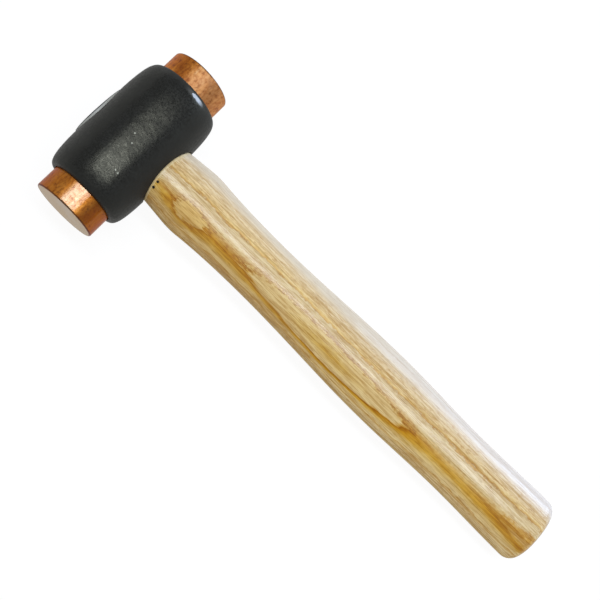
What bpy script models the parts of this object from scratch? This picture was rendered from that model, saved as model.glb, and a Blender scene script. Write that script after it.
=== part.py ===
"""A copper hammer with a solid cast head, lying on its side as on a bench.

A copper slug is pressed into each end of the iron head. The ash handle runs through the hourglass eye of
the head, where a wooden wedge spreads its tongue and two steel wedges lock it.
The pieces are drawn in the hammer's own frame, with the middle of the head at the origin: X runs along the
handle towards the butt, Y along the head, and Z through the thinner side of the handle.
"""

import math

import bmesh
import bpy
from mathutils import Vector

FIT_GAP = 0.0003

# Copper slugs
COPPER_RADIUS = 0.0160
COPPER_STANDOUT = 0.0113
COPPER_EDGE = 0.0007

# Head casting
HEAD_LENGTH = 0.0660
BARREL_WALL = 0.0054
RIM_FLAT = 0.0002
SOCKET_WEB = 0.0055
CROWN_POWER_ALONG = 4.2
CROWN_POWER_OUT = 3.2

# Eye through the head, tapered from both sides to its waist
EYE_MOUTH_WIDTH = 0.0310
EYE_MOUTH_THICKNESS = 0.0220
EYE_WAIST_WIDTH = 0.0255
EYE_WAIST_THICKNESS = 0.0146
EYE_TOP_WIDTH = 0.0300
EYE_TOP_THICKNESS = 0.0156
OVAL_POWER = 2.2

# Handle from end to end, then each stretch outside the head: its length, and the width and thickness
# where it ends. The stretch up to the swell takes the length that the others leave.
HANDLE_LENGTH = 0.2862
NECK_LENGTH = 0.0164
SHOULDER_WIDTH = 0.0338
SHOULDER_THICKNESS = 0.0240
WAIST_RUN = 0.0420
WAIST_SWEEP = 2.4
WAIST_WIDTH = 0.0300
WAIST_THICKNESS = 0.0222
SWELL_WIDTH = 0.0351
SWELL_THICKNESS = 0.0258
GRIP_RUN = 0.0480
GRIP_WIDTH = 0.0330
GRIP_THICKNESS = 0.0244
BUTT_RUN = 0.0465
BUTT_WIDTH = 0.0347
BUTT_THICKNESS = 0.0256
BUTT_ROUND = 0.0050
BUTT_DOME = 0.0020

# Sawn end of the tongue, just under the crown of the barrel, and its wedges
TONGUE_DEPTH = 0.0001
SAW_ANGLE = math.radians(1.6)
WOOD_WEDGE_LENGTH = 0.0270
WOOD_WEDGE_TOP = 0.0034
WOOD_WEDGE_TIP = 0.0008
STEEL_WEDGE_LENGTH = 0.0150
STEEL_WEDGE_COVER = 0.0012
STEEL_WEDGE_TOP = 0.0026
STEEL_WEDGE_TIP = 0.0006
STEEL_WEDGE_SPACING = 0.0130

# Fineness of the round shapes
TURN_STEPS = 72
CROWN_STEPS = 11
OVAL_POINTS = 48
RUN_STEPS = 8
ROUND_STEPS = 6
DOME_STEPS = 3
EDGE_STEPS = 3
SHARP_ANGLE = math.radians(30)
MERGE_DISTANCE = 0.00001
CUT_MARGIN = 0.005

# Sizes that follow from those above
SOCKET_RADIUS = COPPER_RADIUS + FIT_GAP
RIM_RADIUS = SOCKET_RADIUS + RIM_FLAT
BARREL_RADIUS = SOCKET_RADIUS + BARREL_WALL
EYE_WIDTH = max(EYE_MOUTH_WIDTH, EYE_TOP_WIDTH)
SOCKET_FLOOR = EYE_WIDTH / 2 + SOCKET_WEB
TONGUE_END = TONGUE_DEPTH - BARREL_RADIUS
BUTT_REACH = TONGUE_END + HANDLE_LENGTH - BUTT_ROUND - BUTT_DOME
SWELL_RUN = BUTT_REACH - BARREL_RADIUS - NECK_LENGTH - WAIST_RUN - GRIP_RUN - BUTT_RUN

PARTS_NAME = "copper_hammer"
CUTTERS_NAME = "copper_hammer_cutters"


def clear_scene():
    for old in list(bpy.data.objects):
        bpy.data.objects.remove(old, do_unlink=True)


def new_collection(name):
    made = bpy.data.collections.new(name)
    bpy.context.scene.collection.children.link(made)
    return made


def new_material(name, colour, roughness, metallic=0.0):
    made = bpy.data.materials.new(name)
    made.use_nodes = True
    shader = made.node_tree.nodes["Principled BSDF"]
    shader.inputs["Base Color"].default_value = (*colour, 1.0)
    shader.inputs["Roughness"].default_value = roughness
    shader.inputs["Metallic"].default_value = metallic
    return made


def add_object(name, mesh, collection, frame):
    made = bpy.data.objects.new(name, mesh)
    made.parent = frame
    collection.objects.link(made)
    return made


def add_cutter(name, mesh, collection, frame):
    made = add_object(name, mesh, collection, frame)
    made.hide_render = True
    made.display_type = "WIRE"
    return made


def cut(piece, cutter):
    boolean = piece.modifiers.new("cut_" + cutter.name, "BOOLEAN")
    boolean.operation = "DIFFERENCE"
    boolean.solver = "EXACT"
    boolean.object = cutter


def mix(start, end, share):
    return start + (end - start) * share


def fall(share):
    """Leaves at full slope and comes to rest, like the sweep behind a sharp shoulder."""
    return 1 - (1 - share) ** WAIST_SWEEP


def swing(share):
    """Leaves and comes to rest level, like the sweep between a hollow and a swell."""
    return (1 - math.cos(share * math.pi)) / 2


def oval(x, width, thickness):
    """One section of the handle or of the eye: a slightly squared ellipse."""
    ring = []
    for step in range(OVAL_POINTS):
        turn = 2 * math.pi * step / OVAL_POINTS
        across = math.copysign(abs(math.cos(turn)) ** (2 / OVAL_POWER), math.cos(turn))
        up = math.copysign(abs(math.sin(turn)) ** (2 / OVAL_POWER), math.sin(turn))
        ring.append(Vector((x, across * width / 2, up * thickness / 2)))
    return ring


def oval_reach(width, thickness, height):
    """Half width of such a section at a height above its middle."""
    return width / 2 * (1 - abs(2 * height / thickness) ** OVAL_POWER) ** (1 / OVAL_POWER)


def loft(name, rings):
    """Skins a row of sections that run along +X, and caps both ends."""
    shell = bmesh.new()
    rows = [[shell.verts.new(point) for point in ring] for ring in rings]
    for row, following in zip(rows, rows[1:]):
        for index in range(len(row)):
            after = (index + 1) % len(row)
            shell.faces.new((row[index], following[index], following[after], row[after]))
    shell.faces.new(rows[0])
    shell.faces.new(reversed(rows[-1]))
    bmesh.ops.recalc_face_normals(shell, faces=shell.faces)
    mesh = bpy.data.meshes.new(name)
    shell.to_mesh(mesh)
    shell.free()
    mesh.shade_smooth()
    mesh.set_sharp_from_angle(angle=SHARP_ANGLE)
    return mesh


def tapered_block(name, near, far, width, near_thickness, far_thickness, thin_axis):
    """A wedge along +X, thin along Y or Z. Its near end follows the saw cut."""
    block = bmesh.new()
    bmesh.ops.create_cube(block, size=2)
    for corner in block.verts:
        thickness = near_thickness if corner.co.x < 0 else far_thickness
        reach = {"Y": (thickness, width), "Z": (width, thickness)}[thin_axis]
        corner.co.y *= reach[0] / 2
        corner.co.z *= reach[1] / 2
        corner.co.x = near + saw_offset(corner.co.y) if corner.co.x < 0 else far
    mesh = bpy.data.meshes.new(name)
    block.to_mesh(mesh)
    block.free()
    return mesh


def saw_offset(y):
    """How far the slanted saw cut runs along X at a place across the tongue."""
    return y * math.tan(SAW_ANGLE)


def eye_size(x):
    """Width and thickness of the eye at a distance from the middle of the head."""
    if x > 0:
        end_width, end_thickness = EYE_MOUTH_WIDTH, EYE_MOUTH_THICKNESS
    else:
        end_width, end_thickness = EYE_TOP_WIDTH, EYE_TOP_THICKNESS
    share = abs(x) / BARREL_RADIUS
    return mix(EYE_WAIST_WIDTH, end_width, share), mix(EYE_WAIST_THICKNESS, end_thickness, share)


def tongue_size(x):
    width, thickness = eye_size(x)
    return width - 2 * FIT_GAP, thickness - 2 * FIT_GAP


def head_profile():
    """Half section of the casting, from one socket's floor, round the barrel, to the other socket's floor."""
    half = HEAD_LENGTH / 2
    outline = [(0, SOCKET_FLOOR), (SOCKET_RADIUS, SOCKET_FLOOR), (SOCKET_RADIUS, half)]
    for step in range(CROWN_STEPS, -CROWN_STEPS - 1, -1):
        turn = math.pi / 2 * step / CROWN_STEPS
        along = math.copysign(abs(math.sin(turn)) ** (2 / CROWN_POWER_ALONG), turn)
        out = abs(math.cos(turn)) ** (2 / CROWN_POWER_OUT)
        outline.append((mix(RIM_RADIUS, BARREL_RADIUS, out), half * along))
    outline += [(SOCKET_RADIUS, -half), (SOCKET_RADIUS, -SOCKET_FLOOR), (0, -SOCKET_FLOOR)]
    return outline


def make_head(parts, cutters, frame):
    points = [(radius, 0, along) for radius, along in head_profile()]
    edges = [(index, index + 1) for index in range(len(points) - 1)]
    mesh = bpy.data.meshes.new("head_casting")
    mesh.from_pydata(points, edges, [])
    head = add_object("head_casting", mesh, parts, frame)
    head.rotation_euler.x = -math.pi / 2
    turned = head.modifiers.new("turned_barrel", "SCREW")
    turned.steps = turned.render_steps = TURN_STEPS
    turned.use_merge_vertices = True
    turned.merge_threshold = MERGE_DISTANCE

    reach = BARREL_RADIUS + CUT_MARGIN
    sections = [oval(x, *eye_size(x)) for x in (-reach, 0, reach)]
    cut(head, add_cutter("eye", loft("eye", sections), cutters, frame))
    mesh.materials.append(new_material("black_paint", (0.020, 0.021, 0.021), 0.45))


def make_copper_face(name, side, parts, frame):
    """A plain slug from just off the socket's floor to the striking face, with both edges eased."""
    inner = SOCKET_FLOOR + FIT_GAP
    outer = HEAD_LENGTH / 2 + COPPER_STANDOUT
    bpy.ops.mesh.primitive_cylinder_add(vertices=TURN_STEPS, radius=COPPER_RADIUS, depth=outer - inner)
    slug = bpy.context.active_object
    slug.name = slug.data.name = name
    slug.users_collection[0].objects.unlink(slug)
    parts.objects.link(slug)
    slug.parent = frame
    slug.rotation_euler.x = -side * math.pi / 2
    slug.location.y = side * (inner + outer) / 2
    eased = slug.modifiers.new("eased_edges", "BEVEL")
    eased.width = COPPER_EDGE
    eased.segments = EDGE_STEPS
    eased.limit_method = "ANGLE"
    slug.data.shade_smooth()
    slug.data.set_sharp_from_angle(angle=SHARP_ANGLE)
    slug.data.materials.append(new_material(name + "_copper", (0.60, 0.27, 0.10), 0.30, 1.0))


def handle_sections():
    """Sections of the handle from the sawn tongue, through the eye and along the grip, to the domed butt."""
    rings = []
    for step in range(RUN_STEPS):
        x = mix(TONGUE_END, BARREL_RADIUS, step / RUN_STEPS)
        rings.append(oval(x, *tongue_size(x)))
    for point in rings[0]:
        point.x += saw_offset(point.y)

    x = BARREL_RADIUS
    width, thickness = tongue_size(x)
    stretches = (
        (NECK_LENGTH, SHOULDER_WIDTH, SHOULDER_THICKNESS, float),
        (WAIST_RUN, WAIST_WIDTH, WAIST_THICKNESS, fall),
        (SWELL_RUN, SWELL_WIDTH, SWELL_THICKNESS, swing),
        (GRIP_RUN, GRIP_WIDTH, GRIP_THICKNESS, swing),
        (BUTT_RUN, BUTT_WIDTH, BUTT_THICKNESS, swing),
    )
    for run, end_width, end_thickness, sweep in stretches:
        for step in range(RUN_STEPS):
            share = step / RUN_STEPS
            size = mix(width, end_width, sweep(share)), mix(thickness, end_thickness, sweep(share))
            rings.append(oval(x + run * share, *size))
        x, width, thickness = x + run, end_width, end_thickness
    return rings + butt_sections(x, width, thickness)


def butt_sections(x, width, thickness):
    """The rounded edge of the butt, then its shallow dome."""
    rings = []
    for step in range(ROUND_STEPS + 1):
        turn = math.pi / 2 * step / ROUND_STEPS
        inset = 2 * BUTT_ROUND * (1 - math.cos(turn))
        rings.append(oval(x + BUTT_ROUND * math.sin(turn), width - inset, thickness - inset))
    flat_width, flat_thickness = width - 2 * BUTT_ROUND, thickness - 2 * BUTT_ROUND
    for step in range(DOME_STEPS):
        share = 1 - (step + 1) / (DOME_STEPS + 0.5)
        rise = BUTT_DOME * (1 - share ** 2)
        rings.append(oval(x + BUTT_ROUND + rise, flat_width * share, flat_thickness * share))
    return rings


def make_handle(parts, frame):
    handle = add_object("handle", loft("handle", handle_sections()), parts, frame)
    handle.data.materials.append(new_material("varnished_ash", (0.62, 0.44, 0.22), 0.35))
    return handle


def make_wood_wedge(parts, cutters, frame, handle):
    """A slip of hardwood as wide as the tongue, and the kerf that it fills."""
    tip = TONGUE_END + WOOD_WEDGE_LENGTH
    rings = []
    for step in range(RUN_STEPS + 1):
        share = step / RUN_STEPS
        x = mix(TONGUE_END, tip, share)
        half = mix(WOOD_WEDGE_TOP, WOOD_WEDGE_TIP, share) / 2
        reach = oval_reach(*tongue_size(x), half)
        corners = ((-reach, -half), (reach, -half), (reach, half), (-reach, half))
        rings.append([Vector((x, y, z)) for y, z in corners])
    for point in rings[0]:
        point.x += saw_offset(point.y)
    wedge = add_object("wood_wedge", loft("wood_wedge", rings), parts, frame)
    wedge.data.materials.append(new_material("wedge_wood", (0.45, 0.28, 0.13), 0.55))

    slope = (WOOD_WEDGE_TOP - WOOD_WEDGE_TIP) / WOOD_WEDGE_LENGTH
    top = WOOD_WEDGE_TOP + 2 * FIT_GAP + slope * CUT_MARGIN
    bottom = WOOD_WEDGE_TIP + 2 * FIT_GAP
    width = EYE_WIDTH + CUT_MARGIN
    kerf = tapered_block("kerf", TONGUE_END - CUT_MARGIN, tip + FIT_GAP, width, top, bottom, "Z")
    cut(handle, add_cutter("kerf", kerf, cutters, frame))
    return wedge


def steel_wedge_width():
    """As wide as the tongue is thick beside the wedge, less the wood that covers its edges."""
    outer = (STEEL_WEDGE_SPACING + STEEL_WEDGE_TOP) / 2
    heights = []
    for x in (TONGUE_END, 0):
        width, thickness = tongue_size(x)
        heights.append(oval_reach(thickness, width, outer))
    return 2 * (min(heights) - STEEL_WEDGE_COVER)


def make_steel_wedge(name, side, parts, cutters, frame, split):
    """A steel wedge driven across the wooden one, and the slot that it makes in what it splits."""
    y = side * STEEL_WEDGE_SPACING / 2
    tip = TONGUE_END + STEEL_WEDGE_LENGTH
    width = steel_wedge_width()
    block = tapered_block(name, TONGUE_END, tip, width, STEEL_WEDGE_TOP, STEEL_WEDGE_TIP, "Y")
    wedge = add_object(name, block, parts, frame)
    wedge.location = (saw_offset(y), y, 0)
    block.materials.append(new_material(name + "_steel", (0.35, 0.35, 0.36), 0.40, 1.0))

    slope = (STEEL_WEDGE_TOP - STEEL_WEDGE_TIP) / STEEL_WEDGE_LENGTH
    top = STEEL_WEDGE_TOP + 2 * FIT_GAP + slope * CUT_MARGIN
    bottom = STEEL_WEDGE_TIP + 2 * FIT_GAP
    width += 2 * FIT_GAP
    slot = tapered_block(name + "_slot", TONGUE_END - CUT_MARGIN, tip + FIT_GAP, width, top, bottom, "Y")
    cutter = add_cutter(name + "_slot", slot, cutters, frame)
    cutter.location = wedge.location
    for piece in split:
        cut(piece, cutter)


def lay_on_bench(frame, parts):
    """Tips the hammer until head and butt touch the bench, with the origin under the middle of its box."""
    drop = BUTT_THICKNESS / 2
    slope = math.asin(BARREL_RADIUS / math.hypot(BUTT_REACH, drop))
    frame.rotation_euler.y = slope - math.atan2(drop, BUTT_REACH)
    bpy.context.view_layer.update()
    shapes = bpy.context.evaluated_depsgraph_get()
    corners = []
    for piece in parts.objects:
        if piece.type == "MESH":
            shape = piece.evaluated_get(shapes)
            corners += [shape.matrix_world @ corner.co for corner in shape.data.vertices]
    low = Vector(min(corner[axis] for corner in corners) for axis in range(3))
    high = Vector(max(corner[axis] for corner in corners) for axis in range(3))
    frame.location = (-(low.x + high.x) / 2, -(low.y + high.y) / 2, -low.z)


def main():
    clear_scene()
    parts = new_collection(PARTS_NAME)
    cutters = new_collection(CUTTERS_NAME)
    frame = bpy.data.objects.new("hammer_frame", None)
    parts.objects.link(frame)
    make_head(parts, cutters, frame)
    make_copper_face("copper_face_front", -1, parts, frame)
    make_copper_face("copper_face_rear", 1, parts, frame)
    handle = make_handle(parts, frame)
    wood_wedge = make_wood_wedge(parts, cutters, frame, handle)
    make_steel_wedge("steel_wedge_left", -1, parts, cutters, frame, (handle, wood_wedge))
    make_steel_wedge("steel_wedge_right", 1, parts, cutters, frame, (handle, wood_wedge))
    lay_on_bench(frame, parts)


main()
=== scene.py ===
"""Looks of a solid-head copper hammer that lies on its side on a white table.

Every new piece is drawn in the hammer's own frame, with the middle of the head at the origin: X runs along
the handle towards the butt, Y along the head, and Z through the thinner side of the handle. Lengths are in
metres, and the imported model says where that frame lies.
"""

import math

import bmesh
import bpy
import numpy as np
from mathutils import Matrix, Vector, noise


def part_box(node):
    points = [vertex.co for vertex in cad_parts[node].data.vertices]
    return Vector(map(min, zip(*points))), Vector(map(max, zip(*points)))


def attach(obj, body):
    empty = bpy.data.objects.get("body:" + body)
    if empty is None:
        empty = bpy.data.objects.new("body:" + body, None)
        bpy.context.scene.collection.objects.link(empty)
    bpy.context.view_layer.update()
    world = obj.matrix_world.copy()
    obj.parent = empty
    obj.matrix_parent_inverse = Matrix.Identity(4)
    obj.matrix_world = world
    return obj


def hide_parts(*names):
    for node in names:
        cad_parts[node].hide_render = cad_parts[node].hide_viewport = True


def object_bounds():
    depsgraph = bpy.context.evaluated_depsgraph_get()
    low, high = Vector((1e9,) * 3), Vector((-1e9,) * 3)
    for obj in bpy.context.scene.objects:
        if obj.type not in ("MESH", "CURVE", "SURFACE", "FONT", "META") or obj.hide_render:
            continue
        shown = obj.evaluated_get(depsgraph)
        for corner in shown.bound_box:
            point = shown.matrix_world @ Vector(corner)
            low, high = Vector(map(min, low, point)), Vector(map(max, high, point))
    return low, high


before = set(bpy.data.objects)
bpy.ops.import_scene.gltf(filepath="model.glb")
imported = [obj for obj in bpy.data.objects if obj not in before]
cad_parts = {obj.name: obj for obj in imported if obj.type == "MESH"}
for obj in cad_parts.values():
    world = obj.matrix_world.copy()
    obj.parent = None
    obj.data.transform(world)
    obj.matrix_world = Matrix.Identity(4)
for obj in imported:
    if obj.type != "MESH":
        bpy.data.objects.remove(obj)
cad_low, cad_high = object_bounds()

# Head and copper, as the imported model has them
head_low, head_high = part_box("head_casting")
front_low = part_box("copper_face_front")[0]
rear_low, rear_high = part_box("copper_face_rear")
HEAD_MIDDLE = (front_low + rear_high) / 2
HEAD_HALF = (head_high.y - head_low.y) / 2
BARREL_RADIUS = (head_high.z - head_low.z) / 2
COPPER_RADIUS = (rear_high.z - rear_low.z) / 2
COPPER_INNER = rear_low.y - HEAD_MIDDLE.y
COPPER_OUTER = rear_high.y - HEAD_MIDDLE.y
FIT_GAP = 0.0003
SOCKET_RADIUS = COPPER_RADIUS + FIT_GAP
RIM_WIDTH = 0.0002
RIM_RADIUS = SOCKET_RADIUS + RIM_WIDTH
CROWN_POWER_ALONG = 4.2
CROWN_POWER_OUT = 3.2
SLUG_EDGE = 0.0007

# Sand-cast skin of the head: its depth, its swells and grain, and how steeply it leaves the smooth rims
SKIN_DEPTH = 0.00008
SKIN_SWELL = 0.00004
SKIN_SWELL_SCALE = 160
SKIN_GRAIN = 0.00002
SKIN_GRAIN_SCALE = 620
RIM_CALM = 20

# Dents in the copper: their depth and how close they lie
DENT_DEPTH = 0.00004
DENT_SCALE = 170

# Eye through the head, as width and thickness at its top, waist and mouth
OVAL_POWER = 2.2
EYE_TOP = (0.0300, 0.0156)
EYE_WAIST = (0.0255, 0.0146)
EYE_MOUTH = (0.0310, 0.0220)
EYE_LIP = 0.0008

# Handle outside the head: each stretch's length, and its width and thickness where it ends
NECK = (0.0164, 0.0338, 0.0240)
WAIST = (0.0420, 0.0300, 0.0222)
SWELL = (0.0830, 0.0351, 0.0258)
GRIP = (0.0480, 0.0330, 0.0244)
BUTT = (0.0465, 0.0347, 0.0256)
WAIST_SWEEP = 2.4
SHOULDER_EASE = 0.0040
BUTT_ROUND = 0.0050
BUTT_DOME = 0.0020
BUTT_REACH = BARREL_RADIUS + sum(stretch[0] for stretch in (NECK, WAIST, SWELL, GRIP, BUTT))

# Slow waves that sanding leaves: their depth on a handle of about this half width, and how close they lie
SANDED_DEPTH = 0.00008
SANDED_HALF_WIDTH = 0.015
SANDED_ALONG = 45
SANDED_ACROSS = 110

# Sawn end of the tongue, and its wedges as length, thick end and thin end
TONGUE_END = 0.0001 - BARREL_RADIUS
TONGUE_ROUND = 0.0003
PAINTED_END = 0.0030
SAW_ANGLE = math.radians(1.6)
SAW_FADE = 0.004
WOOD_WEDGE = (0.0270, 0.0034, 0.0008)
STEEL_WEDGE = (0.0150, 0.0026, 0.0006)
STEEL_WEDGE_SPACING = 0.0130
STEEL_WEDGE_WIDTH = 0.00905
CUT_MARGIN = 0.005

# Fineness of the meshes
STEP = 0.0006
OVAL_POINTS = 160
EASE_SAMPLES = 9
TONGUE_ROUND_RINGS = 4
BUTT_ROUND_RINGS = 15
BUTT_DOME_RINGS = 24
DOME_MIDDLE = 0.02
HEAD_TURNS = 300
CROWN_RINGS = 171
CROWN_CROWDING = 1.6
BORE_MIDDLE = 0.0004
SLUG_TURNS = 192
SLUG_INNER_RINGS = 5
SLUG_SIDE_RINGS = 44
SLUG_OUTER_RINGS = 6
SLUG_FACE_RINGS = 36
SLUG_MIDDLE = 0.0003
SHARP_ANGLE = math.radians(32)

# Growth layers of the ash: their lean and where it twists, their steps, and the crease along their ridge
LAYER_LEAN = math.radians(18.5)
LAYER_TWIST = math.radians(3.2)
TWIST_MIDDLE = 0.135
TWIST_SPREAD = 0.045
FIRST_LAYER = 0.0021
LAYER_STEP = 0.0011
HEART_STRETCH = 0.4
LAYER_CREASE = 0.0003
CREASE_START = 0.10
CREASE_LENGTH = 0.05
LAYER_SETTLE = 0.0015
LAYER_FLOOR = -0.00045
SANDED_SHARE = 0.01
END_GRAIN_START = 0.0035
END_GRAIN_LENGTH = 0.0015
LEAST_REACH = 0.01
GROWTH = "growth"

# Crests of those layers that draw loops on the upper side, as place along the handle, spread and rise
LAYER_CRESTS = (
    (0.041, 0.0095, 0.00135),
    (0.061, 0.0085, 0.00015),
    (0.128, 0.0435, 0.00240),
    (0.290, 0.0418, 0.00145),
)

# Share of a painted glint's or a speck's radius that is solid, before its edge fades
SPOT_CORE = 0.6

# Painted highlights: small bright spots of colour on the head's paint
GLINT_RADIUS = 0.00048
PAINTED_GLINTS = (
    (-0.0001, -0.0013, 0.0217),
    (0.0021, -0.0054, 0.0216),
    (0.0054, -0.0188, 0.0208),
    (0.0070, -0.0190, 0.0203),
)

# Two specks of black paint on the wood beside the head
SPECK_RADIUS = 0.0009
PAINT_SPECKS = ((0.0205, -0.0070, 0.0099), (0.0208, -0.0099, 0.0086))

# Lamps in the hammer's frame: direction, distance, size, brightness where white is 1, and colour
STRIP_LIGHT = ((-0.045, 0.095, 0.95), 1.0, (1.06, 0.16), 8.1, (0.93, 1.0, 1.13))
SIDE_LIGHT = ((0.36, 0.87, 0.30), 1.2, (0.60, 0.60), 3.3, (0.76, 0.91, 1.17))
LAMP_AIM = Vector((0.1, 0, 0))

# Watts that a square metre of lamp needs to be as bright as white
LAMP_WATTS = 4

# White table, a little under the hammer: its glow and its shade to the eye, and its paint for the light
TABLE_HALF = 6.0
TABLE_GAP = 0.0002
TABLE_GLOW = 0.93
TABLE_SHADE = (0.10, 0.10, 0.10, 1)
TABLE_PAINT = (0.82, 0.82, 0.82, 1)

# Grey of the room, each with its height in the ramp
ROOM_HORIZON = (0.05, (0.54, 0.54, 0.54, 1))
ROOM_OVERHEAD = (0.5, (0.37, 0.37, 0.37, 1))

# Camera in the hammer's frame, with its lens, its sensor and the nearest distance it sees
CAMERA_PLACE = Vector((0.06010, -0.10668, 0.44994))
CAMERA_FORWARD = Vector((0.09470, 0.23484, -0.96741))
CAMERA_UP = Vector((-0.69852, 0.70805, 0.10350))
CAMERA_LENS = 60.0
CAMERA_SENSOR = 36.0
CAMERA_CLIP = 0.01

# The hammer leans until head and butt touch the table
BUTT_DROP = BUTT[2] / 2
LEAN = math.asin(BARREL_RADIUS / math.hypot(BUTT_REACH, BUTT_DROP)) - math.atan2(BUTT_DROP, BUTT_REACH)
HAMMER = Matrix.Translation(HEAD_MIDDLE) @ Matrix.Rotation(LEAN, 4, "Y")


def srgb(red, green, blue):
    """A colour given as 0 to 255, as the shaders take it."""
    shares = (value / 255 for value in (red, green, blue))
    linear = [share / 12.92 if share <= 0.04045 else ((share + 0.055) / 1.055) ** 2.4 for share in shares]
    return (*linear, 1.0)


def mix(start, end, share):
    return start + (end - start) * share


# Shapes


def face_outward(mesh):
    """Turns every face of a mesh to the outside."""
    shape = bmesh.new()
    shape.from_mesh(mesh)
    bmesh.ops.recalc_face_normals(shape, faces=shape.faces)
    shape.to_mesh(mesh)
    shape.free()


def skin(name, rings):
    """A closed mesh over a row of rings, each with as many points as the next."""
    count, turns = len(rings), len(rings[0])
    points = np.asarray(rings, float).reshape(-1, 3)
    faces = []
    for ring in range(count - 1):
        for step in range(turns):
            after = (step + 1) % turns
            near, far = ring * turns, (ring + 1) * turns
            faces.append((near + step, far + step, far + after, near + after))
    faces.append(tuple(range(turns)))
    faces.append(tuple(reversed(range((count - 1) * turns, count * turns))))
    mesh = bpy.data.meshes.new(name)
    mesh.from_pydata(points.tolist(), [], faces)
    face_outward(mesh)
    return mesh


def place(name, data):
    """Adds a mesh, a lamp or a camera to the scene."""
    piece = bpy.data.objects.new(name, data)
    bpy.context.scene.collection.objects.link(piece)
    return piece


def cut(piece, cutters):
    """Cuts solids away from a piece for good."""
    for mesh in cutters:
        cutter = place("cutter", mesh)
        boolean = piece.modifiers.new("cut", "BOOLEAN")
        boolean.object = cutter
        boolean.solver = "EXACT"
        shapes = bpy.context.evaluated_depsgraph_get()
        result = bpy.data.meshes.new_from_object(piece.evaluated_get(shapes))
        piece.modifiers.clear()
        piece.data = result
        bpy.data.objects.remove(cutter)


def smooth(mesh):
    mesh.shade_smooth()
    mesh.set_sharp_from_angle(angle=SHARP_ANGLE)


def oval(x, width, thickness):
    """One section across the handle or the eye: a slightly squared ellipse."""
    turn = np.linspace(0, 2 * math.pi, OVAL_POINTS, endpoint=False)
    across = np.sign(np.cos(turn)) * np.abs(np.cos(turn)) ** (2 / OVAL_POWER)
    up = np.sign(np.sin(turn)) * np.abs(np.sin(turn)) ** (2 / OVAL_POWER)
    return np.stack((np.full(OVAL_POINTS, x), across * width / 2, up * thickness / 2), axis=1)


def turned(radius, y, turns):
    """One ring round the head's middle line."""
    turn = np.linspace(0, 2 * math.pi, turns, endpoint=False)
    return np.stack((radius * np.sin(turn), np.full(turns, y), radius * np.cos(turn)), axis=1)


def eye_size(x):
    """Width and thickness of the eye at a distance from the middle of the head."""
    end = EYE_MOUTH if x > 0 else EYE_TOP
    share = abs(x) / BARREL_RADIUS
    return mix(EYE_WAIST[0], end[0], share), mix(EYE_WAIST[1], end[1], share)


def fall(share):
    """Leaves at full slope and comes to rest, like the sweep behind a shoulder."""
    return 1 - (1 - share) ** WAIST_SWEEP


def swing(share):
    """Leaves and comes to rest level, like the sweep between a hollow and a swell."""
    return (1 - math.cos(share * math.pi)) / 2


def plain_handle_size(x):
    """Width and thickness of the handle, with a sharp shoulder."""
    width, thickness = (size - 2 * FIT_GAP for size in eye_size(min(x, BARREL_RADIUS)))
    start = BARREL_RADIUS
    for stretch, sweep in ((NECK, float), (WAIST, fall), (SWELL, swing), (GRIP, swing), (BUTT, swing)):
        share = min(max((x - start) / stretch[0], 0), 1)
        width = mix(width, stretch[1], sweep(share))
        thickness = mix(thickness, stretch[2], sweep(share))
        start += stretch[0]
    return width, thickness


def handle_size(x):
    """The same with its shoulder eased by hand sanding."""
    if x < BARREL_RADIUS + SHOULDER_EASE:
        return plain_handle_size(x)
    offsets = np.linspace(-SHOULDER_EASE, SHOULDER_EASE, EASE_SAMPLES)
    near = [plain_handle_size(x + offset) for offset in offsets]
    return tuple(np.mean(near, axis=0))


def tongue_and_grip_rings():
    """Sections from the sawn end of the tongue to the start of the butt's rounding."""
    rings = []
    for turn in np.linspace(0, math.pi / 2, TONGUE_ROUND_RINGS)[:-1]:
        inset = TONGUE_ROUND * (1 - math.sin(turn))
        x = TONGUE_END + TONGUE_ROUND * (1 - math.cos(turn))
        width, thickness = plain_handle_size(x)
        rings.append(oval(x, width - 2 * inset, thickness - 2 * inset))
    for x in np.arange(TONGUE_END + TONGUE_ROUND, BUTT_REACH, STEP):
        rings.append(oval(x, *handle_size(x)))
    for ring in rings:
        fade = np.clip(1 - (ring[:, 0] - TONGUE_END) / SAW_FADE, 0, 1)
        ring[:, 0] += ring[:, 1] * math.tan(SAW_ANGLE) * fade
    return rings


def butt_rings():
    """Sections over the rounded and domed butt."""
    rings = []
    width, thickness = BUTT[1:]
    for turn in np.linspace(0, math.pi / 2, BUTT_ROUND_RINGS):
        inset = 2 * BUTT_ROUND * (1 - math.cos(turn))
        rings.append(oval(BUTT_REACH + BUTT_ROUND * math.sin(turn), width - inset, thickness - inset))
    for share in np.linspace(1, DOME_MIDDLE, BUTT_DOME_RINGS)[1:]:
        rise = BUTT_ROUND + BUTT_DOME * (1 - share ** 2)
        flat = [(size - 2 * BUTT_ROUND) * share for size in (width, thickness)]
        rings.append(oval(BUTT_REACH + rise, *flat))
    return rings


def wedge_slot(wedge, width, thin_axis, y=0.0):
    """The slot that a wedge fills, open at the sawn end."""
    length, top, tip = wedge
    slope = (top - tip) / length
    near = TONGUE_END - CUT_MARGIN
    far = TONGUE_END + length + FIT_GAP
    corners = ((-1, -1), (1, -1), (1, 1), (-1, 1))
    rings = []
    for x, gap in ((near, top + slope * CUT_MARGIN), (far, tip)):
        half = (gap / 2 + FIT_GAP, width / 2) if thin_axis == "Y" else (width / 2, gap / 2 + FIT_GAP)
        rings.append([(x, y + side * half[0], up * half[1]) for side, up in corners])
    return skin("slot", rings)


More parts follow.
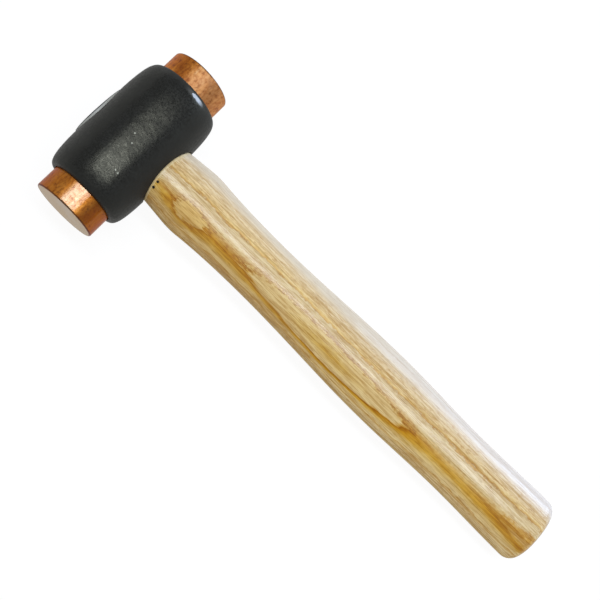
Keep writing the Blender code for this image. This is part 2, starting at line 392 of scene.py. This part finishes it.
def growth(points):
    """How many growth layers outwards each point lies. Whole numbers are the dark ends of the year rings."""
    x, y, z = points.T
    sizes = np.array([handle_size(value) for value in np.arange(TONGUE_END, BUTT_REACH + STEP, STEP)])
    index = np.clip(((x - TONGUE_END) / STEP).astype(int), 0, len(sizes) - 1)
    width, thickness = sizes[index].T / 2
    reach = (np.abs(y / width) ** OVAL_POWER + np.abs(z / thickness) ** OVAL_POWER) ** (1 / OVAL_POWER)
    reach = np.maximum(reach, LEAST_REACH)
    lean = LAYER_LEAN + LAYER_TWIST * np.exp(-(((x - TWIST_MIDDLE) / TWIST_SPREAD) ** 2))
    power = OVAL_POWER / (OVAL_POWER - 1)
    ridge = ((width * np.sin(lean)) ** power + (thickness * np.cos(lean)) ** power) ** (1 / power)
    under_ridge = np.maximum(ridge - (z * np.cos(lean) - y * np.sin(lean)) / reach, 0)
    butt_end = np.clip((x - BUTT_REACH - END_GRAIN_START) / END_GRAIN_LENGTH, 0, 1)
    inside = np.maximum(1 - SANDED_SHARE - reach, 0) * ridge * butt_end
    crest = np.full(len(x), LAYER_FLOOR)
    for middle, spread, rise in LAYER_CRESTS:
        crest += rise * np.exp(-(((x - middle) / spread) ** 2))
    crease = LAYER_CREASE * np.clip((x - CREASE_START) / CREASE_LENGTH, 0, 1)
    depth = np.sqrt(under_ridge ** 2 + under_ridge * crease) + inside
    depth -= crest * np.exp(-under_ridge / LAYER_SETTLE)
    within = depth * HEART_STRETCH / LAYER_STEP
    first = depth / FIRST_LAYER
    later = 1 + (depth - FIRST_LAYER) / LAYER_STEP
    return np.where(depth < 0, within, np.where(depth < FIRST_LAYER, first, later))


def sanded(points):
    """The slow waves that sanding leaves on a handle, always inwards."""
    scale = (SANDED_ALONG, SANDED_ACROSS, SANDED_ACROSS)
    waves = [noise.noise(point * scale) for point in points]
    return 1 - SANDED_DEPTH * (0.5 + 0.5 * np.asarray(waves)) / SANDED_HALF_WIDTH


def make_handle(ash, paint):
    """The handle with its wedge slots, painted where the tongue is sawn off."""
    rings = tongue_and_grip_rings() + butt_rings()
    for ring in rings:
        if ring[0][0] > BARREL_RADIUS:
            ring[:, 1:] *= sanded(ring)[:, None]
    handle = place("ash_handle", skin("ash_handle", rings))
    through = max(EYE_TOP[0], EYE_MOUTH[0])
    steel_width = STEEL_WEDGE_WIDTH + 2 * FIT_GAP
    sides = (-STEEL_WEDGE_SPACING / 2, STEEL_WEDGE_SPACING / 2)
    slots = [wedge_slot(WOOD_WEDGE, through, "Z")]
    slots += [wedge_slot(STEEL_WEDGE, steel_width, "Y", y) for y in sides]
    cut(handle, slots)
    mesh = handle.data
    mesh.materials.clear()
    mesh.materials.append(ash)
    mesh.materials.append(paint)
    points = np.zeros(len(mesh.vertices) * 3)
    mesh.vertices.foreach_get("co", points)
    layers = mesh.attributes.new(GROWTH, "FLOAT", "POINT")
    layers.data.foreach_set("value", growth(points.reshape(-1, 3)).astype(np.float32))
    for face in mesh.polygons:
        face.material_index = 1 if face.center.x < TONGUE_END + PAINTED_END else 0
    smooth(mesh)
    return handle


def crown_radius(share):
    """Radius of the barrel at a share of its half length, on its crown."""
    out = (1 - abs(share) ** CROWN_POWER_ALONG) ** (1 / CROWN_POWER_OUT)
    return mix(RIM_RADIUS, BARREL_RADIUS, out)


def casting_relief(point):
    """How far the sand-cast skin lies under the full barrel."""
    swell = noise.fractal(point * SKIN_SWELL_SCALE, 0.9, 2.0, 3)
    grain = noise.fractal(point * SKIN_GRAIN_SCALE, 0.7, 2.2, 2)
    return SKIN_DEPTH - SKIN_SWELL * swell - SKIN_GRAIN * grain


def lip_relief(point):
    """How far the edge of the eye is rounded down."""
    x, y, z = point
    width, thickness = EYE_MOUTH if x > 0 else EYE_TOP
    ring = (abs(2 * y / width) ** OVAL_POWER + abs(2 * z / thickness) ** OVAL_POWER) ** (1 / OVAL_POWER)
    outside = (ring - 1) * math.hypot(y, z) / max(ring, LEAST_REACH)
    short = 1 - min(max(outside / EYE_LIP, 0), 1)
    return EYE_LIP * (1 - math.sqrt(1 - short ** 2))


def make_head(paint):
    """The crowned barrel with its two bores and its eye."""
    floor = COPPER_INNER - FIT_GAP
    outline = ((BORE_MIDDLE, floor), (SOCKET_RADIUS, floor), (SOCKET_RADIUS, HEAD_HALF))
    bore = [turned(radius, y, HEAD_TURNS) for radius, y in outline]
    crown = []
    for step in np.linspace(1, -1, CROWN_RINGS):
        share = math.copysign(1 - (1 - abs(step)) ** CROWN_CROWDING, step)
        ring = turned(crown_radius(share), share * HEAD_HALF, HEAD_TURNS)
        rough = min(1, (1 - abs(share)) * RIM_CALM)
        for point in ring:
            sink = casting_relief(point) * rough + lip_relief(point)
            point[0::2] *= 1 - sink / math.hypot(point[0], point[2])
        crown.append(ring)
    far_bore = [ring * (1, -1, 1) for ring in reversed(bore)]
    head = place("cast_head", skin("cast_head", bore + crown + far_bore))
    reach = BARREL_RADIUS + CUT_MARGIN
    eye = skin("eye", [oval(x, *eye_size(x)) for x in (reach, 0, -reach)])
    cut(head, [eye])
    head.data.materials.clear()
    head.data.materials.append(paint)
    smooth(head.data)
    return head


def eased_ring(turn, y, inward):
    """One ring of a slug's eased edge, at an angle round that edge."""
    inset = SLUG_EDGE * (1 - math.sin(turn))
    rise = SLUG_EDGE * (1 - math.cos(turn))
    return turned(COPPER_RADIUS - inset, y + inward * rise, SLUG_TURNS)


def slug_rings():
    """Sections of a slug, from the middle of its hidden end to the middle of its face."""
    flat = COPPER_RADIUS - SLUG_EDGE
    rings = [turned(radius, COPPER_INNER, SLUG_TURNS) for radius in (SLUG_MIDDLE, flat)]
    for turn in np.linspace(0, math.pi / 2, SLUG_INNER_RINGS)[1:]:
        rings.append(eased_ring(turn, COPPER_INNER, 1))
    for y in np.linspace(COPPER_INNER + SLUG_EDGE, COPPER_OUTER - SLUG_EDGE, SLUG_SIDE_RINGS)[1:-1]:
        rings.append(turned(COPPER_RADIUS, y, SLUG_TURNS))
    for turn in np.linspace(math.pi / 2, 0, SLUG_OUTER_RINGS):
        rings.append(eased_ring(turn, COPPER_OUTER, -1))
    for radius in np.linspace(flat, SLUG_MIDDLE, SLUG_FACE_RINGS)[1:]:
        rings.append(turned(radius, COPPER_OUTER, SLUG_TURNS))
    return rings


def dent_ring(ring, side):
    """Sinks a ring's points into the slug, as blows and handling do."""
    for point in ring:
        spot = (point[0] * DENT_SCALE, point[1] * DENT_SCALE * side, point[2] * DENT_SCALE)
        sink = DENT_DEPTH * (0.6 + 0.4 * noise.fractal(spot, 0.9, 2.0, 3))
        radius = math.hypot(point[0], point[2])
        if radius > COPPER_RADIUS - SLUG_EDGE:
            point[0::2] *= 1 - sink / radius
        elif point[1] > HEAD_HALF:
            point[1] -= sink


def make_slug(name, side, copper, end):
    """A copper slug with an eased edge, faintly dented by blows."""
    rings = slug_rings()
    for ring in rings:
        dent_ring(ring, side)
    rings = [ring * (1, side, 1) for ring in rings]
    slug = place(name, skin(name, rings if side > 0 else rings[::-1]))
    mesh = slug.data
    mesh.materials.append(copper)
    mesh.materials.append(end)
    for face in mesh.polygons:
        flat = math.hypot(face.center.x, face.center.z) < COPPER_RADIUS - SLUG_EDGE
        face.material_index = 1 if flat and abs(face.center.y) > HEAD_HALF else 0
    smooth(mesh)
    return slug


# Finishes


class Finish:
    """A material, built one node at a time."""

    def __init__(self, name):
        self.material = bpy.data.materials.new(name)
        self.material.use_nodes = True
        self.tree = self.material.node_tree
        self.shader = self.tree.nodes["Principled BSDF"]
        spot = self.node("TexCoord").outputs["Object"]
        sockets = {"Vector": spot, "Location": HEAD_MIDDLE, "Rotation": (0, LEAN, 0)}
        self.place = self.node("Mapping", sockets, vector_type="TEXTURE").outputs[0]

    def put(self, socket, value):
        if isinstance(value, bpy.types.NodeSocket):
            self.tree.links.new(value, socket)
        else:
            socket.default_value = value

    def node(self, kind, sockets=None, **settings):
        made = self.tree.nodes.new("ShaderNode" + kind)
        for name, value in settings.items():
            setattr(made, name, value)
        for name, value in (sockets or {}).items():
            self.put(made.inputs[name], value)
        return made

    def math(self, operation, first, second=0.0):
        return self.node("Math", {0: first, 1: second}, operation=operation).outputs[0]

    def add(self, first, second):
        return self.math("ADD", first, second)

    def times(self, first, second):
        return self.math("MULTIPLY", first, second)

    def scaled(self, scale):
        """The place on the piece, with each axis times a scale."""
        return self.node("VectorMath", {0: self.place, 1: scale}, operation="MULTIPLY").outputs[0]

    def axis(self, name):
        """One coordinate of the place on the piece."""
        return self.node("SeparateXYZ", {0: self.place}).outputs[name]

    def off_axis(self, name, middle):
        """How far one coordinate lies from a middle, to either side."""
        return self.math("ABSOLUTE", self.math("SUBTRACT", self.axis(name), middle))

    def from_head(self):
        """Distance from the middle line of the head."""
        flat = self.scaled((1, 0, 1))
        return self.node("VectorMath", {0: flat}, operation="LENGTH").outputs["Value"]

    def near(self, spot, reach):
        """One at a spot on the piece, falling to nothing at a distance."""
        away = self.node("VectorMath", {0: self.place, 1: spot}, operation="DISTANCE").outputs["Value"]
        return self.range(away, SPOT_CORE * reach, reach, 1.0, 0.0)

    def noise(self, scale, detail=2.0, roughness=0.5, distortion=0.0):
        sockets = {"Vector": self.scaled(scale), "Scale": 1.0, "Detail": detail}
        sockets.update({"Roughness": roughness, "Distortion": distortion})
        return self.node("TexNoise", sockets).outputs[0]

    def range(self, value, low, high, to_low=0.0, to_high=1.0):
        """A value taken softly from one range to another, and held at its ends."""
        sockets = {"Value": value, "From Min": low, "From Max": high, "To Min": to_low, "To Max": to_high}
        return self.node("MapRange", sockets, interpolation_type="SMOOTHSTEP").outputs[0]

    def ramp(self, value, stops):
        made = self.node("ValToRGB", {0: value})
        for index, (position, colour) in enumerate(stops):
            new = index >= len(made.color_ramp.elements)
            stop = made.color_ramp.elements.new(position) if new else made.color_ramp.elements[index]
            stop.position, stop.color = position, colour
        return made.outputs[0]

    def mix(self, share, first, second, blend="MIX"):
        sockets = {0: share, 6: first, 7: second}
        return self.node("Mix", sockets, data_type="RGBA", blend_type=blend).outputs[2]

    def bump(self, height, distance):
        sockets = {"Height": height, "Distance": distance, "Strength": 1.0}
        return self.node("Bump", sockets).outputs[0]

    def finish(self, **sockets):
        """Sets the shader's sockets, each named in lower case with underscores."""
        for name, value in sockets.items():
            self.put(self.shader.inputs[name.replace("_", " ").title().replace("Ior", "IOR")], value)
        return self.material


def paint_run(made):
    """One where a thick run of paint lies on the rear rim, and nothing elsewhere."""
    begins = made.range(made.axis("Y"), 0.885 * HEAD_HALF, 0.912 * HEAD_HALF)
    ends = made.range(made.axis("Y"), 0.940 * HEAD_HALF, 0.965 * HEAD_HALF, 1.0, 0.0)
    across = made.range(made.off_axis("X", 0.0057), 0.0020, 0.0062, 1.0, 0.0)
    return made.times(made.times(begins, ends), across)


def paint_finish():
    """Black paint over the grain of the casting, duller on the flanks and rims, with one glossy run."""
    made = Finish("black_paint")
    cloud = made.noise((90, 90, 90), 3)
    grain = made.noise((700, 700, 700), 3, 0.7)
    speckle = made.noise((1100, 1100, 1100), 3, 0.7)
    stops = ((0.36, srgb(14, 16, 20)), (0.64, srgb(31, 33, 35)))
    # Colour of the painted glints, small painted highlights on the paint
    glint_colour = srgb(160, 162, 150)
    colour = made.ramp(made.mix(0.6, cloud, speckle), stops)
    for spot in PAINTED_GLINTS:
        colour = made.mix(made.near(spot, GLINT_RADIUS), colour, glint_colour)
    rim = made.range(made.off_axis("Y", 0.0), 0.86 * HEAD_HALF, 0.96 * HEAD_HALF)
    flank = made.range(made.off_axis("X", 0.0), 0.0085, 0.0150)
    normal = made.bump(made.times(grain, made.range(rim, 0.0, 1.0, 1.0, 0.1)), 0.00006)
    matt = made.range(speckle, 0.32, 0.68, 0.20, 0.38)
    roughness = made.add(matt, made.times(made.math("MAXIMUM", rim, flank), 0.30))
    gloss = {"specular_ior_level": 0.38, "specular_tint": (1.0, 0.96, 0.72, 1.0)}
    drip = {"coat_weight": paint_run(made), "coat_roughness": 0.05, "coat_ior": 2.1}
    return made.finish(base_color=colour, roughness=roughness, normal=normal, **gloss, **drip)


def end_grain_paint():
    """The same paint where it ran over the sawn end of the tongue, with a painted highlight on its wall
    where the head begins.
    """
    made = Finish("painted_end_grain")
    lines = made.noise((300, 900, 900), 3)
    painted_wall_highlight = srgb(176, 176, 166)
    colour = made.ramp(lines, ((0.3, srgb(16, 17, 16)), (0.7, srgb(26, 27, 25))))
    slant = made.times(made.axis("Y"), math.tan(SAW_ANGLE))
    depth = made.math("SUBTRACT", made.math("SUBTRACT", made.axis("X"), slant), TONGUE_END)
    wall = made.range(depth, 0.0002, 0.0004)
    near_head = made.range(made.from_head(), BARREL_RADIUS + 0.0004, BARREL_RADIUS + 0.0009, 0.95, 0.0)
    # Painted highlight: a light grey line on the tongue's wall next to the head
    colour = made.mix(made.times(wall, near_head), colour, painted_wall_highlight)
    normal = made.bump(lines, 0.00002)
    return made.finish(base_color=colour, normal=normal, roughness=0.38)


def copper_finish(name, flank_shade, highlight_paling, scuff_and_lit_side, lacquer_roughness):
    """Drawn copper under a thin lacquer, mottled along the rod.

    Painted shade darkens the flanks, a painted highlight makes a band along the top paler, and the side
    towards the handle is painted paler as lit, on a slug that scuffing roughens.
    """
    made = Finish(name)
    blotch = made.noise((260, 110, 260), 4, 0.6)
    drawn = made.noise((900, 70, 900), 3, 0.6)
    fleck = made.noise((760, 560, 760), 3)
    stain = made.noise((75, 50, 75), 3)
    stops = (
        (0.32, srgb(118, 58, 14)),
        (0.45, srgb(204, 124, 38)),
        (0.58, srgb(222, 146, 58)),
        (0.72, srgb(238, 190, 124)),
    )
    colour = made.ramp(made.mix(0.45, blotch, drawn), stops)
    # Painted highlight: a lighter band along the top, where the long lamp's highlight falls
    highlight_strip_mask = made.range(made.off_axis("X", 0.0008), 0.0020, 0.0055, highlight_paling, 0.0)
    painted_highlight_share = made.times(highlight_strip_mask, made.range(drawn, 0.3, 0.6, 0.4, 1.0))
    # Painted shade: the flanks darker, away from the lit top
    flanks = made.range(made.off_axis("X", -0.0012), 0.0066, 0.0112, 0.0, flank_shade)
    edge = made.range(made.off_axis("Y", 0.0), COPPER_OUTER - 0.0008, COPPER_OUTER - 0.0004, 0.0, 0.75)
    layers = (
        (painted_highlight_share, srgb(172, 155, 122)),
        (flanks, srgb(154, 88, 16)),
        # Painted light: paler towards the handle, where the side lamp lights the slug
        (made.range(made.axis("X"), -0.0070, 0.0050, 0.0, scuff_and_lit_side), srgb(206, 164, 120)),
        (made.range(fleck, 0.38, 0.62, 0.0, 0.50), srgb(156, 84, 26)),
        (made.range(fleck, 0.59, 0.67, 0.0, 0.42), srgb(90, 44, 16)),
        (made.range(stain, 0.5, 0.7, 0.0, 0.4), srgb(150, 72, 24)),
        (edge, srgb(58, 34, 20)),
    )
    for share, tone in layers:
        colour = made.mix(share, colour, tone)
    roughness = made.add(made.range(drawn, 0.3, 0.7, 0.46, 0.38), 0.2 * scuff_and_lit_side)
    normal = made.bump(made.add(blotch, fleck), 0.000003)
    metal = {"metallic": 1.0, "specular_tint": (0.6, 0.33, 0.14, 1.0)}
    lacquer = {"coat_weight": 0.35, "coat_roughness": lacquer_roughness}
    return made.finish(base_color=colour, roughness=roughness, normal=normal, **metal, **lacquer)


def copper_end_finish():
    """The striking face: dull copper, polished by the lathe and by use."""
    made = Finish("copper_end")
    blotch = made.noise((120, 120, 120), 4, 0.6)
    fine = made.noise((700, 700, 700), 3)
    colour = made.ramp(blotch, ((0.3, srgb(156, 133, 103)), (0.7, srgb(184, 160, 127))))
    normal = made.bump(fine, 0.00005)
    roughness = made.range(blotch, 0.3, 0.7, 0.36, 0.5)
    return made.finish(base_color=colour, roughness=roughness, normal=normal, metallic=1.0)


def ash_layers(made):
    """The growth layers, swayed by the fibres and with torn edges on the upper side."""
    plain = made.node("Attribute", attribute_name=GROWTH).outputs["Fac"]
    flame = made.noise((40, 700, 700), 3, 0.6)
    wander = made.noise((170, 380, 380), 2, 0.5)
    sway = made.noise((16, 60, 60), 2)
    outwards = made.range(plain, 0.0, 1.2, 0.03, 0.16)
    beside_head = made.range(made.axis("X"), 0.047, 0.055, 0.1, 0.0)
    sway_share = made.math("MAXIMUM", outwards, beside_head)
    waves = made.times(made.range(wander, 0.25, 0.75, -1.0, 1.0), sway_share)
    layer = plain
    for drift, share in ((flame, 0.06), (sway, 0.04)):
        layer = made.add(layer, made.range(drift, 0.25, 0.75, -share, share))
    torn = made.range(made.noise((450, 1000, 1000), 2), 0.3, 0.7, -0.12, 0.12)
    torn = made.times(torn, made.range(made.axis("Y"), -0.0090, -0.0040))
    return made.add(made.add(layer, waves), torn)


def year_ring_colour(made, layer, ring):
    """Golden year rings with dark ends, fainter outwards and on the upper side.

    They are deeper in colour at the butt and duller on the lower side of the neck.
    """
    stops = (
        (0.000, srgb(172, 106, 2)),
        (0.025, srgb(188, 122, 8)),
        (0.065, srgb(212, 152, 26)),
        (0.220, srgb(228, 180, 68)),
        (0.340, srgb(238, 204, 120)),
        (0.600, srgb(245, 217, 154)),
        (0.890, srgb(245, 218, 156)),
        (0.960, srgb(226, 182, 92)),
        (1.000, srgb(196, 134, 30)),
    )
    colour = made.ramp(ring, stops)
    year = made.math("FLOOR", layer)
    chance = made.node("TexWhiteNoise", {"W": year}, noise_dimensions="1D").outputs[0]
    later = made.math("MINIMUM", made.math("MAXIMUM", year, 0.0), 1.0)
    first = made.math("SUBTRACT", 1.0, made.math("MINIMUM", made.math("ABSOLUTE", year), 1.0))
    heart = made.range(year, -1.0, 0.0, 1.0, 0.0)
    fade = made.range(made.axis("Y"), -0.0090, -0.0025, 0.0, 0.62)
    faint = made.times(later, made.range(chance, 0.0, 1.0, 0.4, 0.75))
    brim = made.times(made.times(heart, fade), made.range(ring, 0.88, 0.95))
    loop = made.times(heart, made.range(made.axis("X"), 0.055, 0.075, 0.6, 0.0))
    loop = made.times(loop, made.range(ring, 0.86, 0.95, 1.0, 0.0))
    upper = made.times(made.times(first, fade), made.range(ring, 0.03, 0.18, 0.75, 1.0))
    butt = made.range(made.axis("X"), 0.225, 0.245, 0.0, 0.6)
    deep = made.times(butt, made.range(layer, 0.1, 0.3, 1.0, 0.0))
    lower_neck = made.range(made.axis("X"), 0.095, 0.130, 0.4, 0.0)
    lower_neck = made.times(lower_neck, made.range(made.axis("Y"), -0.0110, -0.0060, 1.0, 0.0))
    tones = (
        (faint, srgb(246, 222, 172)),
        (brim, srgb(236, 208, 148)),
        (loop, srgb(232, 188, 100)),
        (upper, srgb(236, 218, 178)),
        (deep, srgb(214, 160, 52)),
        (lower_neck, srgb(204, 160, 84)),
    )
    for share, tone in tones:
        colour = made.mix(share, colour, tone)
    return colour


def sapwood_and_glare_share(made, layer):
    """Sapwood with painted glare: rises towards one over the outer layers of the upper flank, and is nothing
    elsewhere.
    """
    outer = made.times(made.range(layer, 0.7, 8.0), made.range(made.axis("Y"), 0.0, 0.004))
    return made.times(outer, made.range(made.axis("Z"), 0.0, 0.006))


def grained(made, colour, layer, ring, sapwood_and_glare, shade):
    """The wood's colour with its fibres, pores and short dark dashes. Sapwood and the painted glare on it
    weaken fibres and dashes.
    """
    tint = made.ramp(made.range(shade, 1.15, 1.80), ((0.0, srgb(206, 184, 148)), (1.0, srgb(255, 255, 255))))
    colour = made.mix(made.range(sapwood_and_glare, 0.0, 1.0, 1.0, 0.4), colour, tint, "MULTIPLY")
    pore = made.noise((150, 3800, 3800), 2, 0.5)
    early = made.add(made.range(ring, 0.55, 0.98), 0.2)
    pores = made.times(made.range(pore, 0.62, 0.70, 0.0, 0.5), early)
    colour = made.mix(pores, colour, srgb(134, 80, 16))
    dash = made.noise((320, 1200, 1200), 2)
    dashes = made.times(made.range(dash, 0.56, 0.68, 0.0, 0.5), made.range(layer, 0.8, 1.6))
    dashes = made.times(dashes, made.range(sapwood_and_glare, 0.0, 0.9, 1.0, 0.1))
    return made.mix(dashes, colour, srgb(186, 136, 74))


def ended(made, colour):
    """The wood's colour with its dark butt, a painted highlight line at the head and the specks of paint."""
    end_grain = made.range(made.axis("X"), BUTT_REACH + 0.0030, BUTT_REACH + 0.0047, 0.0, 0.6)
    # Painted highlight: a light line on the wood along the head
    painted_junction_highlight = made.range(made.from_head(), BARREL_RADIUS + 0.0001, BARREL_RADIUS + 0.0005, 0.5, 0.0)
    black_paint = srgb(16, 16, 14)
    colour = made.mix(end_grain, colour, srgb(150, 104, 54))
    colour = made.mix(painted_junction_highlight, colour, srgb(244, 226, 176))
    for spot in PAINT_SPECKS:
        colour = made.mix(made.near(spot, SPECK_RADIUS), colour, black_paint)
    return colour


def varnish_weight(made):
    """How much varnish is left: worn off on the lower side, thinner near the head, and kept underneath."""
    left = made.range(made.axis("Y"), -0.0165, -0.0115, 0.0, 0.9)
    left = made.times(left, made.range(made.axis("X"), 0.185, 0.215, 0.66, 1.0))
    return made.math("MAXIMUM", left, made.range(made.axis("Z"), -0.0012, 0.0012, 0.5, 0.0))


def ash_finish():
    """Varnished ash: golden year rings that grow paler outwards, wavy fibres and short dark pores."""
    made = Finish("varnished_ash")
    layer = ash_layers(made)
    ring = made.math("FRACT", layer)
    sapwood_and_glare = sapwood_and_glare_share(made, layer)
    fibre = made.noise((55, 2600, 2600), 4, 0.6)
    ripple = made.noise((110, 1150, 1150), 3, 0.6, 1.0)
    streak = made.noise((14, 600, 600), 3, 0.6)
    shade = made.add(made.add(fibre, ripple), streak)
    towards_butt = made.range(made.axis("X"), 0.10, 0.27)
    # Sapwood colour with painted glare, whiter and bluer towards the butt, where the side lamp's glare lies
    pale = made.ramp(towards_butt, ((0.0, srgb(226, 215, 196)), (1.0, srgb(236, 232, 232))))
    colour = year_ring_colour(made, layer, ring)
    colour = made.mix(made.times(sapwood_and_glare, 0.92), colour, pale)
    colour = grained(made, colour, layer, ring, sapwood_and_glare, shade)
    colour = ended(made, colour)
    normal = made.bump(shade, 0.00004)
    roughness = made.range(fibre, 0.3, 0.7, 0.34, 0.44)
    varnish = {"coat_weight": varnish_weight(made), "coat_roughness": 0.2, "specular_ior_level": 0.0}
    return made.finish(base_color=colour, roughness=roughness, normal=normal, **varnish)


def wedge_finish(name, dark, light, metallic):
    """A wedge under the same black paint as the head's."""
    made = Finish(name)
    cloud = made.noise((400, 400, 400), 3)
    colour = made.ramp(cloud, ((0.3, dark), (0.7, light)))
    normal = made.bump(cloud, 0.00005)
    return made.finish(base_color=colour, normal=normal, roughness=0.5, metallic=metallic)


def floor_finish():
    """White to the camera and in reflections, with a faint shadow; plain pale paint for the light."""
    made = Finish("white_table")
    tree = made.tree
    path = made.node("LightPath").outputs
    seen = made.math("MAXIMUM", path["Is Camera Ray"], path["Is Glossy Ray"])
    seen = made.math("MAXIMUM", seen, path["Is Transmission Ray"])
    glow = made.node("Emission", {"Color": (1, 1, 1, 1), "Strength": TABLE_GLOW}).outputs[0]
    shade = made.node("BsdfDiffuse", {"Color": TABLE_SHADE}).outputs[0]
    lit = made.node("AddShader", {0: glow, 1: shade}).outputs[0]
    plain = made.node("BsdfDiffuse", {"Color": TABLE_PAINT}).outputs[0]
    both = made.node("MixShader", {0: seen, 1: plain, 2: lit}).outputs[0]
    tree.links.new(both, tree.nodes["Material Output"].inputs["Surface"])
    return made.material


# Stage


def make_floor():
    mesh = bpy.data.meshes.new("table_top")
    sides = ((-1, -1), (1, -1), (1, 1), (-1, 1))
    corners = [(x * TABLE_HALF, y * TABLE_HALF, 0) for x, y in sides]
    mesh.from_pydata(corners, [], [(0, 1, 2, 3)])
    floor = place("table_top", mesh)
    floor.location.z = cad_low.z - TABLE_GAP
    mesh.materials.append(floor_finish())


def make_lamp(name, direction, distance, size, radiance, colour):
    """A soft box that faces the middle of the handle. Radiance is its brightness, where white is 1."""
    data = bpy.data.lights.new(name, "AREA")
    data.shape = "RECTANGLE"
    data.size, data.size_y = size
    data.energy = LAMP_WATTS * size[0] * size[1] * radiance
    data.color = colour
    lamp = place(name, data)
    away = Vector(direction).normalized()
    side = (Vector((1, 0, 0)) - away * away.x).normalized()
    up = away.cross(side)
    turn = Matrix((side, up, away)).transposed().to_4x4()
    lamp.matrix_world = HAMMER @ Matrix.Translation(LAMP_AIM + away * distance) @ turn
    lamp.visible_camera = False


def make_sky():
    """Soft grey room light, a little dimmer overhead."""
    world = bpy.data.worlds.new("room")
    bpy.context.scene.world = world
    world.use_nodes = True
    tree = world.node_tree
    spot = tree.nodes.new("ShaderNodeTexCoord")
    height = tree.nodes.new("ShaderNodeSeparateXYZ")
    ramp = tree.nodes.new("ShaderNodeValToRGB")
    tree.links.new(spot.outputs["Generated"], height.inputs[0])
    tree.links.new(height.outputs["Z"], ramp.inputs[0])
    for stop, (position, grey) in zip(ramp.color_ramp.elements, (ROOM_HORIZON, ROOM_OVERHEAD)):
        stop.position = position
        stop.color = grey
    tree.links.new(ramp.outputs[0], tree.nodes["Background"].inputs["Color"])


def make_camera():
    data = bpy.data.cameras.new("camera")
    data.lens, data.sensor_width = CAMERA_LENS, CAMERA_SENSOR
    data.clip_start = CAMERA_CLIP
    camera = place("camera", data)
    right = CAMERA_FORWARD.cross(CAMERA_UP).normalized()
    up = right.cross(CAMERA_FORWARD).normalized()
    turn = Matrix((right, up, -CAMERA_FORWARD.normalized())).transposed().to_4x4()
    camera.matrix_world = HAMMER @ Matrix.Translation(CAMERA_PLACE) @ turn
    bpy.context.scene.camera = camera


def dress(piece, node):
    """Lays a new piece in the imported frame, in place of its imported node."""
    piece.data.transform(HAMMER)
    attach(piece, "root")
    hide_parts(node)


def paint_wedges():
    """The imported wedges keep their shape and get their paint."""
    finishes = {"wood_wedge": wedge_finish("painted_wood", srgb(24, 24, 22), srgb(40, 38, 32), 0.0)}
    dark_steel, light_steel = srgb(22, 23, 24), srgb(34, 35, 36)
    for side in ("left", "right"):
        finishes["steel_wedge_" + side] = wedge_finish("painted_steel_" + side, dark_steel, light_steel, 0.3)
    for node, finish in finishes.items():
        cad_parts[node].material_slots[0].material = finish


def main():
    bpy.context.scene.view_settings.view_transform = "Standard"
    paint, copper_end = paint_finish(), copper_end_finish()
    copper_front = copper_finish("copper_front", flank_shade=0.85, highlight_paling=0.85, scuff_and_lit_side=0.0, lacquer_roughness=0.12)
    copper_rear = copper_finish("copper_rear", flank_shade=0.20, highlight_paling=0.35, scuff_and_lit_side=0.45, lacquer_roughness=0.3)
    dress(make_head(paint), "head_casting")
    dress(make_slug("copper_slug_front", -1, copper_front, copper_end), "copper_face_front")
    dress(make_slug("copper_slug_rear", 1, copper_rear, copper_end), "copper_face_rear")
    dress(make_handle(ash_finish(), end_grain_paint()), "handle")
    paint_wedges()
    make_floor()
    make_sky()
    make_lamp("strip_light", *STRIP_LIGHT)
    make_lamp("side_light", *SIDE_LIGHT)
    make_camera()


main()
